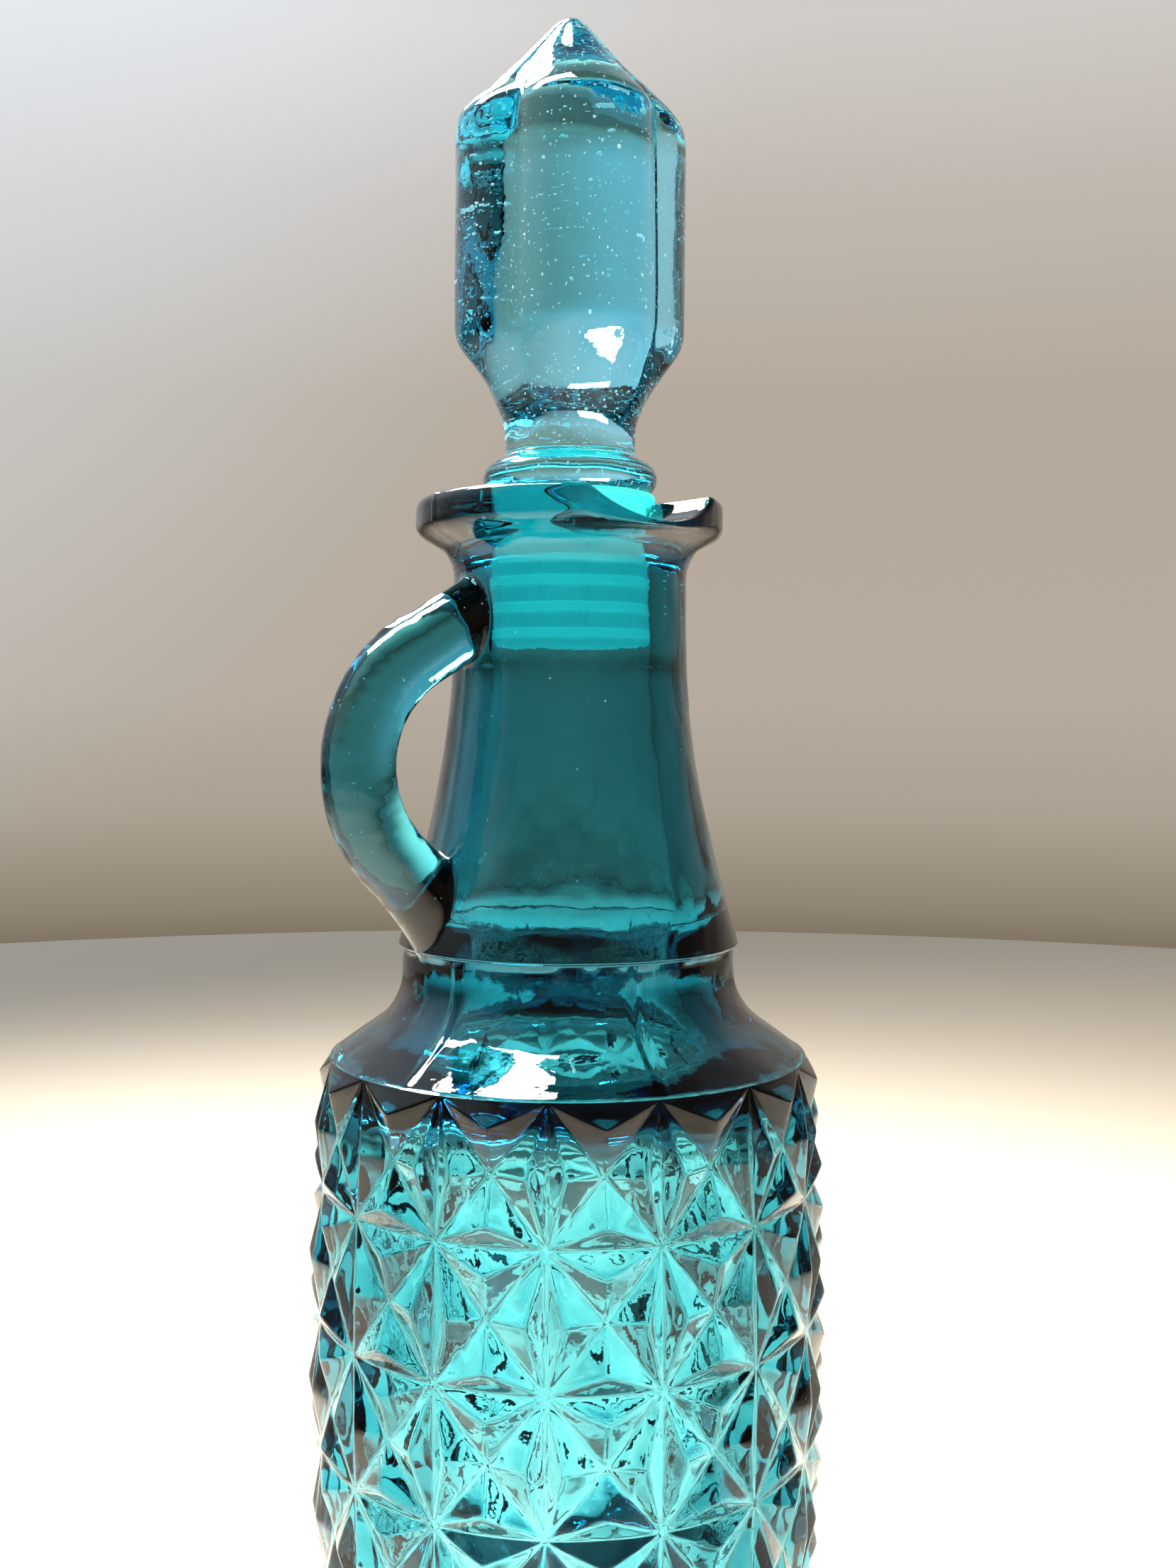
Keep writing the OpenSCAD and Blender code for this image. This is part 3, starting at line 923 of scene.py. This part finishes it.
def plastic_material():
    """Cloudy plastic. Its glow stands for the light that scatters inside it."""
    material, tree, shader, _ = new_material("sleeve_polyethylene")
    tint = noise_node(tree, 180)
    base = tree.nodes.new("ShaderNodeValToRGB")
    base.color_ramp.elements[0].position = 0.35
    base.color_ramp.elements[0].color = (0.38, 0.80, 0.68, 1)
    base.color_ramp.elements[1].position = 0.7
    base.color_ramp.elements[1].color = (0.50, 0.88, 0.78, 1)
    tree.links.new(tint.outputs["Fac"], base.inputs["Fac"])
    tree.links.new(base.outputs["Color"], shader.inputs["Base Color"])
    # Painted light and shade: the glow is bright on the ribs and the plain top, and dim in the grooves
    # between the ribs.
    glow = tree.nodes.new("ShaderNodeValToRGB")
    glow.color_ramp.elements[0].color = (0.012, 0.31, 0.35, 1)
    glow.color_ramp.elements[1].color = (0.03, 0.56, 0.57, 1)
    tree.links.new(ribs_by_height(tree), glow.inputs["Fac"])
    tree.links.new(glow.outputs["Color"], shader.inputs["Emission Color"])
    shader.inputs["Emission Strength"].default_value = 0.8
    shader.inputs["Roughness"].default_value = 0.38
    shader.inputs["IOR"].default_value = 1.5
    shader.inputs["Transmission Weight"].default_value = 0.3
    material.cycles.emission_sampling = "NONE"
    add_bump(tree, shader, [(900, 0.00004)])
    return material


def floor_material():
    """Pale warm paint with a faint unevenness."""
    material, tree, shader, _ = new_material("floor_paint")
    tint = noise_node(tree, 3)
    ramp = tree.nodes.new("ShaderNodeValToRGB")
    ramp.color_ramp.elements[0].color = (0.84, 0.70, 0.54, 1)
    ramp.color_ramp.elements[1].color = (0.88, 0.74, 0.58, 1)
    tree.links.new(tint.outputs["Fac"], ramp.inputs["Fac"])
    tree.links.new(ramp.outputs["Color"], shader.inputs["Base Color"])
    shader.inputs["Roughness"].default_value = 0.42
    return material


# ---------------------------------------------------------------- setting
FLOOR_RADIUS = 1.0


def build_floor():
    work = bmesh.new()
    bmesh.ops.create_circle(work, cap_ends=True, segments=96, radius=FLOOR_RADIUS)
    mesh = bpy.data.meshes.new("floor")
    work.to_mesh(mesh)
    work.free()
    floor = bpy.data.objects.new("floor", mesh)
    scene.collection.objects.link(floor)
    floor.data.materials.append(floor_material())


def area_light(name, place, aim, size, watts, colour, spread):
    """A soft box at place that faces aim, with its long side across the camera's view."""
    data = bpy.data.lights.new(name, "AREA")
    data.shape = "RECTANGLE"
    data.size, data.size_y = size
    data.energy = watts
    data.color = colour
    data.spread = math.radians(spread)
    light = bpy.data.objects.new(name, data)
    scene.collection.objects.link(light)
    away = (place - aim).normalized()
    along = (camera_right - away * camera_right.dot(away)).normalized()
    across = away.cross(along)
    turn = Matrix((along, across, away)).transposed().to_4x4()
    light.matrix_world = Matrix.Translation(place) @ turn


def setting_lights():
    """A window behind on the left, and a wide soft box overhead that lights the table behind."""
    middle = Vector((0, 0, 0.12))
    window = middle - towards_camera * 0.81 - camera_right * 0.34 + Vector((0, 0, 0.96))
    area_light("window", window, middle, (0.42, 0.42), 2.9, (0.87, 0.96, 1.0), 42)
    behind = middle - towards_camera * 0.08
    overhead = middle - camera_right * 0.27 - towards_camera * 0.12 + Vector((0, 0, 0.68))
    area_light("overhead", overhead, behind, (0.48, 0.23), 3.6, (1.0, 0.975, 0.93), 88)


# Colour of the room ahead by height, as the sine of the elevation
ROOM_BY_HEIGHT = [
    (-1.0, (0.16, 0.13, 0.10)),
    (-0.125, (0.22, 0.18, 0.13)),
    (-0.11, (0.27, 0.23, 0.17)),
    (-0.05, (0.41, 0.36, 0.29)),
    (0.02, (0.47, 0.41, 0.345)),
    (0.20, (0.46, 0.40, 0.33)),
    (0.31, (0.53, 0.48, 0.43)),
    (0.40, (0.63, 0.60, 0.57)),
    (0.60, (0.50, 0.50, 0.50)),
    (1.0, (0.20, 0.20, 0.20)),
]


def build_world():
    """A plain room: pale and warm ahead, dim at the sides and behind, with two glows high on the left."""
    world = bpy.data.worlds.new("room")
    scene.world = world
    world.use_nodes = True
    tree = world.node_tree
    tree.nodes.clear()
    place = tree.nodes.new("ShaderNodeTexCoord")
    split = tree.nodes.new("ShaderNodeSeparateXYZ")
    tree.links.new(place.outputs["Generated"], split.inputs["Vector"])
    lift = tree.nodes.new("ShaderNodeMapRange")
    lift.inputs["From Min"].default_value = -1
    lift.inputs["From Max"].default_value = 1
    tree.links.new(split.outputs["Z"], lift.inputs["Value"])
    ramp = tree.nodes.new("ShaderNodeValToRGB")
    for k, (height, colour) in enumerate(ROOM_BY_HEIGHT):
        stop = ramp.color_ramp.elements[k] if k < 2 else ramp.color_ramp.elements.new((height + 1) / 2)
        stop.position = (height + 1) / 2
        stop.color = (*colour, 1)
    tree.links.new(lift.outputs["Result"], ramp.inputs["Fac"])

    def towards(direction, low, high, dim, bright):
        """A smooth step from dim to bright as directions turn towards one."""
        facing = tree.nodes.new("ShaderNodeVectorMath")
        facing.operation = "DOT_PRODUCT"
        facing.inputs[1].default_value = tuple(direction.normalized())
        tree.links.new(place.outputs["Generated"], facing.inputs[0])
        step = tree.nodes.new("ShaderNodeMapRange")
        step.interpolation_type = "SMOOTHSTEP"
        step.inputs["From Min"].default_value = low
        step.inputs["From Max"].default_value = high
        step.inputs["To Min"].default_value = dim
        step.inputs["To Max"].default_value = bright
        tree.links.new(facing.outputs["Value"], step.inputs["Value"])
        return step.outputs["Result"]

    def backdrop(strength, colour=None):
        node = tree.nodes.new("ShaderNodeBackground")
        node.inputs["Color"].default_value = (*(colour or (1, 1, 1)), 1)
        tree.links.new(strength, node.inputs["Strength"])
        return node

    ahead = -towards_camera
    room = backdrop(towards(ahead + Vector((0, 0, 0.1)), 0.1, 0.85, 0.22, 1.0))
    tree.links.new(ramp.outputs["Color"], room.inputs["Color"])
    glow_way = ahead - 0.9 * camera_right + Vector((0, 0, 0.9))
    glow = backdrop(towards(glow_way, 0.7, 1.0, 0.0, 0.36), (0.56, 0.78, 1.0))
    side_way = Vector((0, 0, 0.85)) - camera_right
    side = backdrop(towards(side_way, 0.7, 1.0, 0.0, 0.7), (0.80, 0.95, 1.0))
    total = room.outputs["Background"]
    for part in (glow, side):
        both = tree.nodes.new("ShaderNodeAddShader")
        tree.links.new(total, both.inputs[0])
        tree.links.new(part.outputs["Background"], both.inputs[1])
        total = both.outputs["Shader"]
    output = tree.nodes.new("ShaderNodeOutputWorld")
    tree.links.new(total, output.inputs["Surface"])


def build_setting():
    build_floor()
    build_world()
    setting_lights()
    scene.view_settings.view_transform = "Standard"
    scene.cycles.max_bounces = 20
    scene.cycles.transmission_bounces = 20


build_setting()

# ---------------------------------------------------------------- pieces
seeds = seed_material()
bottle = build_bottle()
bottle.data.materials.append(glass_material("teal_glass", TEAL, TEAL_DENSITY, TEAL_BUMPS))
bottle.data.materials.append(seeds)
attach(bottle, "bottle")
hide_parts("bottle", "handle")

stopper = build_stopper()
stopper.data.materials.append(glass_material("seeded_glass", PALE_TEAL, PALE_DENSITY, PALE_BUMPS))
stopper.data.materials.append(seeds)
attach(stopper, "finial")
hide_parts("stopper")

sleeve = build_sleeve()
sleeve.data.materials.append(plastic_material())
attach(sleeve, "sleeve")
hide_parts("stopper_sleeve")
